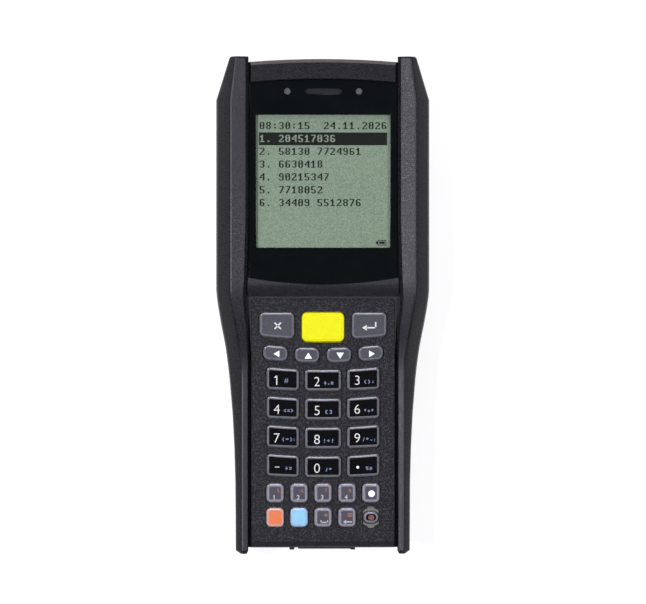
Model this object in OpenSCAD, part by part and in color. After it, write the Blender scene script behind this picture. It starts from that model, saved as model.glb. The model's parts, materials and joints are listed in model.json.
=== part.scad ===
// Portable barcode data terminal, lying on its back.
// X runs to the right of the keypad, Y towards the scanner end and Z up through the display.
// The origin is the centre of the footprint, on the surface that the back rests on.

/* [Display] */
// Width of the view through the window
view_w = 45.2; // [40:0.1:52]
// Length of the view through the window
view_l = 44.9; // [40:0.1:52]
// Blacked-out border at each side of the view
view_side = 2.3; // [1.5:0.1:4]
// Window above the view, which holds the speaker slot and the lights
view_head = 11.9; // [10:0.1:16]
// Window below the view
view_foot = 12.4; // [9:0.1:18]
// How far the window's lower edge dips in the middle
window_dip = 2.3; // [0.5:0.1:4]
// Thickness of the window
window_t = 1.5; // [1:0.1:2]
// Thickness of the foam that seals the window to the front cover
gasket_t = 0.3; // [0.2:0.1:0.6]
// Thickness of the two bonded panes of the liquid crystal panel
lcd_t = 1.8; // [1.2:0.1:2.4]
// Diameter of each status light
light_d = 2.1; // [1.5:0.1:3]
// Distance between the two status lights
light_pitch = 24.2; // [20:0.2:34]
// Length of the speaker slot
slot_l = 13.1; // [8:0.1:16]
// Width of the speaker slot
slot_w = 1.9; // [1.2:0.1:3]
// Distance of the slot and the lights below the brow
slot_drop = 4; // [3:0.1:5.5]

/* [Brow and chin] */
// Length of the brow bar at the scanner end
brow_l = 7; // [5:0.1:10]
// Distance of the brow bar from the ends of the rails
brow_set = 0.7; // [0.5:0.1:2]
// How far the brow bar stands above the window
brow_proud = 0.9; // [0.4:0.1:1.6]
// Width of the bevel along the brow's upper edge
brow_bevel = 0.9; // [0.5:0.1:1.4]
// Radius of the bowed scanner end
end_r = 303; // [200:1:500]
// Radius of the brow's lower edge
brow_r = 253; // [200:1:500]
// Length of the chin between the window and the keypad
chin_l = 4.9; // [3.5:0.1:9]
// Height that the chin climbs from the keypad to the window
chin_rise = 3; // [2:0.1:5]

/* [Keys] */
// Width of the scan key
scan_w = 14.4; // [12:0.1:18]
// Length of the scan key
scan_l = 9.9; // [8:0.1:12]
// Width of the escape key and of the enter key
esc_w = 11.8; // [9:0.1:14]
// Length of the escape key and of the enter key
esc_l = 9.05; // [7:0.05:10]
// Gap between the scan key and its neighbours
scan_gap = 2.5; // [2:0.1:4]
// Width of an arrow key
arrow_w = 8.35; // [7:0.05:9.5]
// Length of an arrow key
arrow_l = 4.85; // [4:0.05:6.5]
// Gap between arrow keys
arrow_gap = 2.4; // [2:0.1:3]
// Width of a digit key in the middle column
digit_w = 12.3; // [9:0.1:14]
// Width of a digit key in a side column
digit_side_w = 11; // [9:0.1:12]
// Length of a digit key
digit_l = 7; // [5.5:0.1:9]
// Gap between digit columns
digit_gap = 1.95; // [1.8:0.05:3]
// Gap between digit rows
digit_row_gap = 2.75; // [2:0.05:4]
// Width of a function key
fn_w = 5.9; // [4.5:0.1:7]
// Length of a function key
fn_l = 6.3; // [4.5:0.1:8]
// Gap between function keys
fn_gap = 2.2; // [1.8:0.1:3]
// Gap between the two rows of function keys
fn_row_gap = 1.95; // [1.8:0.05:3]
// Width of the power key
power_w = 5.2; // [4:0.1:6]
// Length of the power key
power_l = 3.85; // [3.6:0.05:4.5]
// Gap between the scan row and the arrow row
arrow_drop = 2.05; // [2:0.05:4]
// Gap between the arrow row and the first digit row
digit_drop = 2.6; // [2:0.05:4]
// Gap between the last digit row and the function keys
fn_drop = 2.15; // [2:0.05:4]
// Keypad above the scan row
keypad_head = 4.6; // [3:0.1:8]
// Keypad below the last row
keypad_foot = 5.15; // [4.5:0.05:10]
// Keypad beside the outer keys
keypad_side = 2.7; // [2.6:0.1:5]
// Radius of the curve that the key rows follow
row_r = 190; // [150:1:400]
// Radius of the lower edges of the digit keys
digit_foot_r = 300; // [200:1:500]
// How far a key stands above the keypad plate
key_proud = 1.2; // [0.9:0.1:2]
// How far a key travels
key_travel = 0.8; // [0.4:0.1:1.2]
// Gap round a key in the keypad plate
key_gap = 0.3; // [0.2:0.05:0.4]
// How far the flange under a key reaches past the key
key_lip = 0.65; // [0.5:0.05:0.8]
// Thickness of the flange under a key
flange_t = 0.9; // [0.6:0.1:1.4]
// Thickness of the keypad plate
plate_t = 2; // [1.4:0.1:3]

/* [Rails] */
// Width of the groove between a rail and the middle of the housing
groove_w = 1.05; // [0.8:0.05:1.5]
// Width of a rail beside the display
rail_head_w = 10.15; // [8.5:0.05:13]
// Width of a rail beside the keypad
rail_grip_w = 4.25; // [3.5:0.05:6]
// Width of the outer slope of a rail beside the display
slope_head_w = 4.95; // [3:0.05:6]
// Width of the outer slope of a rail beside the keypad
slope_grip_w = 2.25; // [1.5:0.05:2.8]
// Thickness of a rail on the side of the housing
rail_wall = 2.4; // [1.8:0.1:3]
// Depth of a rail from its crest to the shoulder that it sits on
rail_depth = 4.5; // [3.5:0.1:5.5]
// How far a rail's crest stands above the window
crest_over_window = 2.4; // [1.5:0.1:4]
// How far a rail's crest stands above the keypad
crest_over_keypad = 1.2; // [0.8:0.1:3]
// Fall from crest to inner edge beside the display
fall_head = 1.1; // [0.5:0.1:1.8]
// Fall from crest to inner edge beside the keypad
fall_grip = 0.3; // [0.2:0.1:1.2]
// Width of the narrow flat along a rail's crest
crest_w = 0.6; // [0.4:0.1:0.8]
// Length over which the head narrows at the scanner end
nose_l = 14.5; // [8:0.5:20]
// How far each side narrows at the scanner end
nose_in = 4.6; // [2:0.1:5]
// How far the crest moves in at the scanner end
nose_crest_in = 1.75; // [0.5:0.05:2.5]
// Length of the shoulder where the head narrows to the grip
hip_l = 18; // [12:0.5:26]
// How far each side narrows over that shoulder
hip_in = 3; // [1:0.1:4]
// Distance from the keypad up to where the head starts to narrow
hip_over = 2.8; // [0:0.1:6]
// How far the middle of the housing swells at the chin
swell = 0.8; // [0:0.1:1.2]
// How far the rails reach past the lower end of the covers
horn_l = 2.1; // [1:0.1:4]

/* [Back] */
// Width of the battery
battery_w = 37; // [30:0.5:40]
// Length of the battery
battery_l = 54; // [44:0.5:58]
// Thickness of the battery
battery_h = 10.4; // [8:0.1:14]
// Thickness of the battery lid
lid_t = 1.9; // [1.8:0.1:3]
// Width of the lid past each side of the battery
lid_side = 2.2; // [1.8:0.1:2.6]
// How far the lid's outer face lies above the resting surface
lid_lift = 0.5; // [0.3:0.1:1]
// Roof over the battery
bay_roof = 1.7; // [1.2:0.1:3]
// Distance of the hinge from the lower end of the rails
hinge_in = 16; // [15:0.5:22]
// Radius of the lid's hinge knuckles
knuckle_r = 2.3; // [2:0.05:2.6]
// Diameter of the hinge pin
pin_d = 1.6; // [1.2:0.1:2]
// Width of one lid knuckle
knuckle_w = 8; // [5:0.5:10]
// Distance of a knuckle from the middle
knuckle_x = 8; // [5:0.5:9]
// How far the battery latch slides
latch_travel = 3; // [2:0.1:3.5]
// Width of the latch's thumb pad
latch_w = 16; // [12:0.5:22]
// Length of the latch's thumb pad
latch_l = 5.5; // [4:0.5:8]
// Length of the finger recess across the back
recess_l = 31; // [24:1:40]
// Depth of the finger recess
recess_h = 2.6; // [1:0.1:3.5]
// Length of the slope under the scanner end
ramp_l = 31; // [24:1:36]
// Height of the slope at the scanner end
ramp_h = 8.4; // [5:0.1:9]
// Width of the rounded lower edge of the back
edge_w = 6; // [5:0.1:6.2]
// Height of the rounded lower end
heel_h = 7.5; // [5:0.1:8]

/* [Scanner] */
// Width of the scan window
scan_win_w = 41; // [34:0.5:44]
// Height of the scan window
scan_win_h = 11; // [8:0.5:12]
// Width of the frame round the scan window
scan_rim = 2.5; // [1.8:0.1:3]
// Distance of the scan window's middle above the parting line
scan_up = 4.3; // [3:0.1:5]
// Width of the scan engine
engine_w = 24; // [20:0.5:30]
// Depth of the scan engine
engine_l = 10; // [8:0.5:11]
// Height of the scan engine
engine_h = 11; // [9:0.5:12]

/* [Cradle connector] */
// Width of the connector
dock_w = 22.2; // [18:0.2:26]
// Height of the connector
dock_h = 11; // [8:0.5:13]
// How far the connector stands out of the lower end
dock_out = 1.1; // [0.6:0.1:1.8]
// Number of contact pads
dock_pads = 8; // [4:1:10]

/* [Inside] */
// Wall thickness of the covers
wall = 2; // [1.4:0.1:2.4]
// Thickness of the front cover under the window and the keypad plate
deck_t = 1.6; // [1.2:0.1:2.4]
// Height of the main board above the parting line
post_h = 4; // [3.5:0.1:6]
// Thickness of the main board
board_t = 1.6; // [1:0.1:2]
// Height of the keypad mat above the board
mat_lift = 2; // [1.5:0.1:3]
// Thickness of the keypad mat
mat_t = 1.5; // [1:0.1:2.5]
// Diameter of a screw's shank
screw_d = 2.2; // [1.8:0.1:2.6]
// Diameter of a screw's head
screw_head_d = 4.2; // [3.6:0.1:4.6]

/* [Hidden] */
$fn = 48;

// Clearances
slip = 0.3;
fit = 0.1;
lift_gap = 0.2;

// Heights, from the resting surface up through the battery, the board and the keys
lid_in_z = lid_lift + lid_t;
pocket_z = lid_in_z + lift_gap;
battery_z = lid_in_z + slip;
bay_z = battery_z + battery_h + lift_gap;
split_z = bay_z + bay_roof;
board_z = split_z + post_h;
board_top = board_z + board_t;
contact_t = 0.1;
contact_rest = key_travel + fit;
plunger_z = board_top + contact_t + contact_rest;
mat_z = board_top + mat_lift;
mat_top = mat_z + mat_t;
flange_z = mat_top + key_travel + lift_gap;
plate_z = flange_z + flange_t + lift_gap;
keypad_z = plate_z + plate_t;
window_z = keypad_z + chin_rise;
seat_z = window_z - window_t - gasket_t;
crest_head_z = window_z + crest_over_window;
crest_grip_z = keypad_z + crest_over_keypad;
deck_in_z = seat_z - deck_t;
lcd_top = seat_z;

// Widths
keypad_w = scan_w + 2 * (scan_gap + esc_w + keypad_side);
window_w = view_w + 2 * view_side;
head_half = window_w / 2 + groove_w + rail_head_w;
grip_half = keypad_w / 2 + groove_w + rail_grip_w;
lid_w = battery_w + 2 * lid_side;
bay_w = battery_w + 2 * slip;

// Lengths and places along Y
strip_l = 2;
digit_pitch = digit_l + digit_row_gap;
head_l = brow_set + brow_l + view_head + view_l + view_foot + chin_l;
key_rows_l = scan_l + arrow_drop + arrow_l + digit_drop + 3 * digit_pitch + digit_l + fn_drop;
keypad_l = keypad_head + key_rows_l + 2 * fn_l + fn_row_gap + keypad_foot;
body_l = head_l + keypad_l + strip_l + horn_l;
y_top = body_l / 2;
y_bot = -body_l / 2;
y_end = y_top - brow_set;
y_foot = y_bot + horn_l;
y_brow = y_end - brow_l;
y_view = y_brow - view_head;
y_window = y_view - view_l - view_foot;
y_slot = y_brow - slot_drop;
y_keypad = y_window - chin_l;
y_scan = y_keypad - keypad_head;
y_arrow = y_scan - scan_l - arrow_drop;
y_digit = y_arrow - arrow_l - digit_drop;
y_fn = y_digit - 3 * digit_pitch - digit_l - fn_drop;
y_last = y_fn - fn_l - fn_row_gap;
y_keypad_foot = y_last - fn_l - keypad_foot;
y_waist = y_keypad + hip_over;
y_hip = y_waist - hip_l;
y_nose = y_top - nose_l;

// The rails' crest drops from the head to the grip between these two places
y_fall = y_waist + 3;
y_level = y_hip - 12;

// Back of the housing
y_hinge = y_bot + hinge_in;
hinge_z = lid_lift + fit + knuckle_r;
hinge_gap = knuckle_r + 0.6;
y_battery = y_hinge + hinge_gap + 1.9;
y_bay = y_battery - slip;
contact_room = 1.7;
y_bay_end = y_battery + battery_l + contact_room;
y_well = y_bay_end + 1.6;
stem_l = 1.5;
tongue_l = stem_l + 4.6;
y_stem = y_well + slip;
y_lid_end = y_stem + tongue_l + fit + slip;
y_recess = y_lid_end + 4;
y_ramp = y_end - ramp_l;
heel_l = 4.9;
y_heel = y_foot + heel_l;

// Screws: three a side, as [x, y]
boss_d = screw_d + 3.2;
screw_head_t = 1.8;
head_seat = 5;
boss_in = rail_wall + wall + boss_d / 2 - 0.8;
upper_screw_in = 0.9;
lower_screw_in = 1.7;
y_upper_screw = y_top - 26;
y_middle_screw = y_lid_end - 1;
y_lower_screw = y_foot + 4.4;
SCREWS = [
  [half_w(y_upper_screw) - boss_in - upper_screw_in, y_upper_screw],
  [half_w(y_middle_screw) - boss_in, y_middle_screw],
  [half_w(y_lower_screw) - boss_in - lower_screw_in, y_lower_screw]
];

// Places across the housing, from end to end, at which its outline is cut
horn_round = 1.1;
tip_round = 0.5;
STATIONS = concat(
  [y_bot, y_bot + horn_round],
  steps(y_bot + horn_round, y_level, 5),
  steps(y_level, y_fall, 12),
  steps(y_fall, y_nose, 3),
  steps(y_nose, y_top - tip_round, 3),
  [y_top]
);
BACK_STATIONS = concat(
  [for (i = [0:5]) y_foot + heel_l * (1 - cos(18 * i))],
  steps(y_heel, y_level, 5),
  steps(y_level, y_recess, 9),
  steps(y_recess, y_recess + recess_l, 8),
  steps(y_recess + recess_l, y_ramp, 2),
  steps(y_ramp, y_top, 8)
);

// Corner radii of the key tops
scan_r = 1.7;
esc_r = 1.5;
arrow_r = 1.9;
digit_r = 1.2;
fn_r = 1.4;
power_r = power_l / 2 - 0.02;
row_k = 1 / (2 * row_r);
digit_foot_k = 1 / (2 * digit_foot_r);

// Each key is [name, left, right, upper edge, lower edge, corner radius, upper curve, lower curve]
esc_x = scan_w / 2 + scan_gap;
digit_x = digit_w / 2 + digit_gap;
fn_pitch = fn_w + fn_gap;
ARROW_NAMES = ["key_left", "key_up", "key_down", "key_right"];
DIGIT_NAMES = [
  ["key_1", "key_2", "key_3"],
  ["key_4", "key_5", "key_6"],
  ["key_7", "key_8", "key_9"],
  ["key_minus", "key_0", "key_dot"]
];
DIGIT_COLUMNS = [
  [-digit_x - digit_side_w, -digit_x],
  [-digit_w / 2, digit_w / 2],
  [digit_x, digit_x + digit_side_w]
];
FN_NAMES = [
  ["key_f1", "key_f2", "key_f3", "key_f4", "key_backlight"],
  ["key_orange", "key_blue", "key_space", "key_backspace"]
];
power_x = 2 * fn_pitch;
y_power = y_last - (fn_l - power_l) / 2;
KEYS = concat(
  [
    ["key_escape", -esc_x - esc_w, -esc_x, y_scan, y_scan - esc_l, esc_r, 0, row_k],
    ["key_scan", -scan_w / 2, scan_w / 2, y_scan, y_scan - scan_l, scan_r, 0, row_k],
    ["key_enter", esc_x, esc_x + esc_w, y_scan, y_scan - esc_l, esc_r, 0, row_k]
  ],
  [for (i = [0:3])
    let (x = (i - 1.5) * (arrow_w + arrow_gap))
    [ARROW_NAMES[i], x - arrow_w / 2, x + arrow_w / 2, y_arrow, y_arrow - arrow_l, arrow_r, row_k, row_k]],
  [for (row = [0:3]) for (col = [0:2])
    let (x = DIGIT_COLUMNS[col], y = y_digit - row * digit_pitch)
    [DIGIT_NAMES[row][col], x[0], x[1], y, y - digit_l, digit_r, row_k, digit_foot_k]],
  [for (row = [0:1]) for (col = [0:len(FN_NAMES[row]) - 1])
    let (x = (col - 2) * fn_pitch, y = row == 0 ? y_fn : y_last)
    [FN_NAMES[row][col], x - fn_w / 2, x + fn_w / 2, y, y - fn_l, fn_r, 0, 0]],
  [["key_power", power_x - power_w / 2, power_x + power_w / 2, y_power, y_power - power_l, power_r, 0, 0]]
);

// ---- Curves of the housing ----

function steps(from, to, n) = [for (i = [1:n]) from + (to - from) * i / n];
function mix(a, b, t) = a + (b - a) * t;
function smooth(t) = let (c = max(0, min(1, t))) c * c * (3 - 2 * c);

// 0 along the head, rising to 1 at the scanner end
function nose(y) = max(0, (y - y_nose) / nose_l);

// 0 along the grip, rising to 1 along the head
function headness(y) = smooth((y - y_level) / (y_fall - y_level));

// Half width of the housing: straight head, rounded hip, then a grip that eases to its own width
function half_w(y) =
  y >= y_waist ? head_half - nose_in * nose(y) :
  y >= y_hip ? head_half - hip_in * pow((y_waist - y) / hip_l, 1.25) :
  grip_half + (head_half - hip_in - grip_half) * pow((y - y_bot) / (y_hip - y_bot), 3);

// Half width and height of the rails' crest line
function crest_x(y) =
  mix(grip_half - slope_grip_w, head_half - slope_head_w, headness(y)) - nose_crest_in * nose(y);
function crest_z(y) = mix(crest_grip_z, crest_head_z, headness(y));
function shoulder_z(y) = crest_z(y) - rail_depth;

// Half width of the middle of the housing, which swells at the chin
function deck_half(y) =
  mix(keypad_w / 2, window_w / 2, smooth((y - y_keypad + 24) / 22))
  + swell * pow(max(0, 1 - pow((y - y_keypad - 1) / 12, 2)), 2);
function rail_in_x(y) = deck_half(y) + groove_w;

// Height of the underside: a finger recess, a ramp under the scanner and a rounded heel
function back_z(y) =
  y < y_heel ? heel_h * (1 - sqrt(max(0, 1 - pow((y_heel - y) / heel_l, 2)))) :
  y < y_recess ? 0 :
  y < y_recess + recess_l ? recess_h * pow(sin(180 * (y - y_recess) / recess_l), 2) :
  y < y_ramp ? 0 :
  ramp_h * pow((y - y_ramp) / ramp_l, 1.6);

// How far the covers' corners draw in at the lower end
corner_r = 3;
function corner_in(y) =
  y < y_foot + corner_r ? corner_r - sqrt(corner_r * corner_r - pow(y_foot + corner_r - y, 2)) : 0;

// ---- General shapes ----

// A solid through a list of rings, anticlockwise as seen from where the last ring lies
module loft(rings) {
  n = len(rings[0]);
  last = (len(rings) - 1) * n;
  polyhedron(
    points = [for (ring = rings) each ring],
    faces = concat(
      [[for (j = [0:n - 1]) j]],
      [for (i = [0:n:last - n]) for (j = [0:n - 1]) let (k = (j + 1) % n) [i + j, i + n + j, i + n + k]],
      [for (i = [0:n:last - n]) for (j = [0:n - 1]) let (k = (j + 1) % n) [i + j, i + n + k, i + k]],
      [[for (j = [n - 1:-1:0]) last + j]]
    )
  );
}

// Outline of a key, or of any rounded plate, grown by an amount
function key_ring(k, grow = 0) =
  let (
    x0 = k[1] - grow,
    x1 = k[2] + grow,
    mid = (x0 + x1) / 2,
    r = max(0.15, k[5] + grow),
    n = 4
  )
  concat(
    [for (i = [0:n]) corner(x1 - r, foot_y(k, grow, x1 - r) + r, r, -90 + 90 * i / n)],
    [for (i = [0:n]) corner(x1 - r, head_y(k, grow, x1 - r) - r, r, 90 * i / n)],
    k[6] == 0 ? [] : [[mid, head_y(k, grow, mid)]],
    [for (i = [0:n]) corner(x0 + r, head_y(k, grow, x0 + r) - r, r, 90 + 90 * i / n)],
    [for (i = [0:n]) corner(x0 + r, foot_y(k, grow, x0 + r) + r, r, 180 + 90 * i / n)],
    k[7] == 0 ? [] : [[mid, foot_y(k, grow, mid)]]
  );
function head_y(k, grow, x) = k[3] + grow + k[6] * x * x;
function foot_y(k, grow, x) = k[4] - grow + k[7] * x * x;
function corner(x, y, r, a) = [x + r * cos(a), y + r * sin(a)];
function at_z(ring, z) = [for (p = ring) [p[0], p[1], z]];
function plate_ring(x, y0, y1, r) = key_ring(["", -x, x, y1, y0, r, 0, 0]);

// A prism of an outline between two heights
module prism(ring, z0, z1) {
  translate([0, 0, z0])
    linear_extrude(z1 - z0)
      polygon(ring);
}

// A rounded plate centred on X
module slab(x, y0, y1, z0, z1, r = 1) {
  prism(plate_ring(x, y0, y1, r), z0, z1);
}

// A box centred on X
module block(x, y0, y1, z0, z1) {
  translate([-x, y0, z0])
    cube([2 * x, y1 - y0, z1 - z0]);
}

// A side profile, as [y, z] points, carried across the housing
module across(half) {
  translate([-half, 0, 0])
    rotate([90, 0, 90])
      linear_extrude(2 * half)
        children();
}

module both_sides() {
  children();
  mirror([1, 0, 0])
    children();
}

module at_screws() {
  both_sides()
    for (s = SCREWS)
      translate([s[0], s[1], 0])
        children();
}

// ---- Outline of the covers ----

// Plan of the housing, drawn in by an amount, as a prism
module plan(inset, z0, z1) {
  right = [for (y = STATIONS) [half_w(y) - inset, y]];
  left = [for (i = [len(STATIONS) - 1:-1:0]) [-right[i][0], right[i][1]]];
  prism(concat(right, left), z0, z1);
}

// Everything between the bowed scanner end and the lower end, drawn in by an amount
module ends(inset = 0) {
  intersection() {
    translate([0, y_end - end_r, -1])
      cylinder(r = end_r - inset, h = crest_head_z + 2, $fn = 256);
    block(head_half + 1, y_foot + inset, y_top, -1, crest_head_z + 1);
  }
}

// Everything under the shoulders that the rails sit on, lowered by an amount and capped
module under_shoulders(drop, cap) {
  across(head_half)
    polygon(concat(
      [[y_bot, 0], [y_top, 0]],
      [for (i = [len(STATIONS) - 1:-1:0])
        let (y = STATIONS[i])
        [y, min(shoulder_z(y) - drop, cap)]]
    ));
}

// Hollow of the front cover between two places
module front_hollow(y0, y1, cap) {
  intersection() {
    plan(rail_wall + wall, split_z - 1, crest_head_z);
    under_shoulders(shoulder_t, cap);
    block(head_half, y0, y1, split_z - 1, crest_head_z);
    ends(wall + 0.3);
  }
}
shoulder_t = crest_head_z - rail_depth - deck_in_z;

// ---- Housing ----

housing_colour = [0.2, 0.2, 0.22];
rail_colour = [0.3, 0.3, 0.32];
steel = [0.75, 0.75, 0.77];
gold = [0.85, 0.68, 0.3];

// Window seat in the front cover: its lower edge dips in the middle
window_r = pow(window_w / 2, 2) / (2 * window_dip);
function window_foot(x) = y_window + x * x / (2 * window_r);
function brow_foot(x) = y_brow - x * x / (2 * brow_r);
function brow_head(x) = y_end - x * x / (2 * end_r);
function arc_xs(half, n) = [for (i = [-n:n]) half * i / n];

function window_ring(half, inset) = concat(
  [for (x = arc_xs(half - inset, 8)) [x, window_foot(x) + inset]],
  [for (x = arc_xs(inset - half, 8)) [x, brow_foot(x) - inset]]
);
function brow_ring(inset, head_inset) =
  let (half = window_w / 2 - 0.3)
  concat(
    [for (x = arc_xs(half - inset, 8)) [x, brow_foot(x) + inset]],
    [for (x = arc_xs(inset - half, 8)) [x, brow_head(x) - head_inset]]
  );

// The middle of the front cover, solid: keypad bed, chin and window bed
module deck() {
  chin = [for (i = [0:6])
    let (t = i / 6)
    [y_keypad + 0.1 + t * (chin_l - 0.1), keypad_z + chin_rise * (1 - pow(1 - t, 1.4))]];
  right = [for (y = STATIONS) [deck_half(y), y]];
  left = [for (i = [len(STATIONS) - 1:-1:0]) [-right[i][0], right[i][1]]];
  intersection() {
    prism(concat(right, left), split_z, crest_head_z);
    across(head_half)
      polygon(concat(
        [[y_foot, split_z], [y_foot, keypad_z - 1.8], [y_foot + 0.4, keypad_z - 1]],
        [[y_foot + strip_l, keypad_z]],
        chin,
        [[y_top, window_z], [y_top, split_z]]
      ));
    ends();
  }
}

module front_cover() {
  color(housing_colour)
  difference() {
    union() {
      difference() {
        union() {
          intersection() {
            plan(rail_wall, split_z, crest_head_z);
            under_shoulders(0, crest_head_z);
            ends();
          }
          deck();
        }
        front_hollow(y_keypad + 1.5, y_top, deck_in_z);
        front_hollow(y_foot, y_keypad + 1.5, plate_z - deck_t);
      }
      // Bosses for the screws
      intersection() {
        at_screws()
          cylinder(d = boss_d, h = crest_head_z);
        plan(rail_wall + 0.5, split_z, crest_head_z);
        under_shoulders(0.5, seat_z - 0.3);
      }
    }
    // Seats of the keypad plate, the window and the brow
    slab(keypad_w / 2 + fit, y_keypad_foot - fit, y_keypad + fit, plate_z, crest_head_z, 1.1);
    prism(concat(
      [for (x = arc_xs(head_half, 12)) [x, window_foot(x) - fit]],
      [[head_half, y_top + 1], [-head_half, y_top + 1]]
    ), seat_z, crest_head_z);
    // Openings of the keys, the view, the speaker and the lights
    slab(keypad_w / 2 - 1.5, y_keypad_foot + 1.2, y_keypad - 1.2, split_z, crest_head_z);
    slab(
      lcd_x + slip, y_view - view_l - lcd_side - slip, y_view + lcd_side + slip,
      deck_in_z - 1, crest_head_z
    );
    slab(slot_l / 2, y_slot - slot_w / 2, y_slot + slot_w / 2, deck_in_z - 1, crest_head_z, 0.4);
    at_lights()
      cylinder(d = light_d + 2 * fit, h = crest_head_z);
    // Openings of the scanner frame and the cradle connector
    scan_opening(fit);
    dock_opening(fit);
    at_screws()
      translate([0, 0, split_z - 1])
        cylinder(d = screw_d, h = screw_grip + 1.5);
    seal_ring(split_z - 1, split_z + fit, 0);
  }
}
screw_grip = 6;

module at_lights() {
  both_sides()
    translate([light_pitch / 2, y_slot, 0])
      children();
}

// Ring of the case seal, grown by a clearance
module seal_ring(z0, z1, grow) {
  intersection() {
    difference() {
      plan(rail_wall + 0.5 - grow, z0, z1);
      plan(rail_wall + 1.5 + grow, z0 - 1, z1 + 1);
      block(scan_open_w / 2 + 1.5, y_nose, y_top, z0 - 1, z1 + 1);
      block(dock_w / 2 + 2, y_bot, y_heel, z0 - 1, z1 + 1);
    }
    ends(0.8 - grow);
  }
}

module case_seal() {
  color([0.1, 0.1, 0.1])
    seal_ring(split_z - 0.7, split_z, 0);
}

// The back cover's outside: rings across the housing from the heel to the scanner end
EDGE = [[0.15, 1], [0.4, 0.72], [1.1, 0.42], [2.3, 0.2], [4, 0.05], [edge_w, 0]];
module back_shell() {
  loft([for (y = BACK_STATIONS)
    let (
      w = half_w(y) - corner_in(y),
      z = back_z(y),
      side = [for (e = EDGE) [w - e[0], z + (split_z - z) * e[1]]],
      m = len(side) - 1
    )
    concat(
      [for (i = [m:-1:0]) [-side[i][0], y, side[i][1]]],
      [for (i = [0:m]) [side[i][0], y, side[i][1]]]
    )]);
}

// Hollow of the back cover between two places, over a floor
module back_hollow(inset, y0, y1, z0) {
  intersection() {
    plan(inset, z0, split_z + 1);
    ends(wall + 0.3);
    block(head_half, y0, y1, z0, split_z + 1);
  }
}

module back_cover() {
  y_head = y_recess - 1;
  color(housing_colour)
  difference() {
    union() {
      difference() {
        intersection() {
          back_shell();
          ends();
        }
        // Head, with a floor that follows the recess and the ramp
        difference() {
          union() {
            back_hollow(rail_wall + wall + 0.2, y_head, y_top, 6);
            back_hollow(edge_w + 0.6, y_head, y_top, 0);
          }
          across(head_half)
            polygon(concat(
              [[y_head - 1, -1], [y_head - 1, wall]],
              [for (y = concat(steps(y_head - 1, y_recess + recess_l, 8), steps(y_ramp, y_top, 6)))
                [y, back_z(y) + wall]],
              [[y_top, -1]]
            ));
        }
        // Channels beside the battery
        difference() {
          back_hollow(rail_wall + wall + 0.2, y_bay, y_bay_end, 6);
          block(bay_w / 2 + 1.6, y_bay - 1, y_bay_end + 1, 0, split_z + 2);
        }
      }
      // Columns for the screws, posts for the board and a shelf for the scan engine
      intersection() {
        union() {
          at_screws()
            cylinder(d = boss_d + 0.8, h = split_z);
          both_sides() {
            for (y = [y_view - view_l + 4, y_view - 6])
              translate([engine_w / 2 + 4, y, 0])
                cylinder(d = 5, h = split_z);
          }
          block(engine_w / 2 - 2, y_engine, y_engine + engine_l, 0, engine_z);
        }
        back_shell();
        ends(0.5);
      }
      // Posts that reach up to the board
      both_sides() {
        for (y = [y_view - view_l + 4, y_view - 6])
          translate([engine_w / 2 + 4, y, split_z - 1])
            cylinder(d = 5, h = board_z - split_z + 1);
        for (y = [y_battery + 5, y_bay_end - 5])
          translate([battery_w / 2 - 3, y, split_z - 0.5])
            cylinder(d = 5, h = board_z - split_z + 0.5);
      }
    }
    // Lid pocket and hinge well, round the lugs that carry the pin
    difference() {
      union() {
        slab(lid_w / 2 + slip, y_hinge - hinge_gap, y_lid_end + slip, -1, pocket_z, 2);
        block(lug_x1 + 0.5, y_hinge - hinge_gap, y_hinge + hinge_gap, -1, hinge_z + hinge_gap - 0.2);
      }
      hinge_lugs();
    }
    // Battery bay and latch well
    slab(bay_w / 2, y_bay, y_bay_end, 0, bay_z, 1.4);
    block(latch_plate_w / 2 + slip, y_well, y_lid_end + slip, 0, tongue_z1 + slip);
    block(
      latch_plate_w / 2 + slip, y_lid_end, y_lid_end + latch_travel + slip,
      tongue_z0 - slip, tongue_z1 + slip
    );
    lid_seal_ring(pocket_z - 0.1, pocket_z + 0.9, 0.02);
    // Openings of the scanner frame and the cradle connector
    scan_opening(fit);
    dock_opening(fit);
    // Screw holes, sunk from below
    at_screws() {
      translate([0, 0, -1])
        cylinder(d = screw_head_d + 0.6, h = head_seat + 1);
      cylinder(d = screw_d + 0.4, h = split_z + 1);
    }
    seal_ring(split_z - 0.75, split_z + 1, 0.03);
  }
}

module housing_screws() {
  color(steel)
    at_screws()
      difference() {
        union() {
          translate([0, 0, head_seat - screw_head_t])
            cylinder(d = screw_head_d, h = screw_head_t);
          translate([0, 0, head_seat - 0.1])
            cylinder(d = screw_d, h = split_z + screw_grip - head_seat);
        }
        // Cross recess
        for (a = [0, 90])
          rotate(a)
            translate([-screw_d / 2, -0.3, 0])
              cube([screw_d, 0.6, head_seat - screw_head_t + 1]);
      }
}

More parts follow.
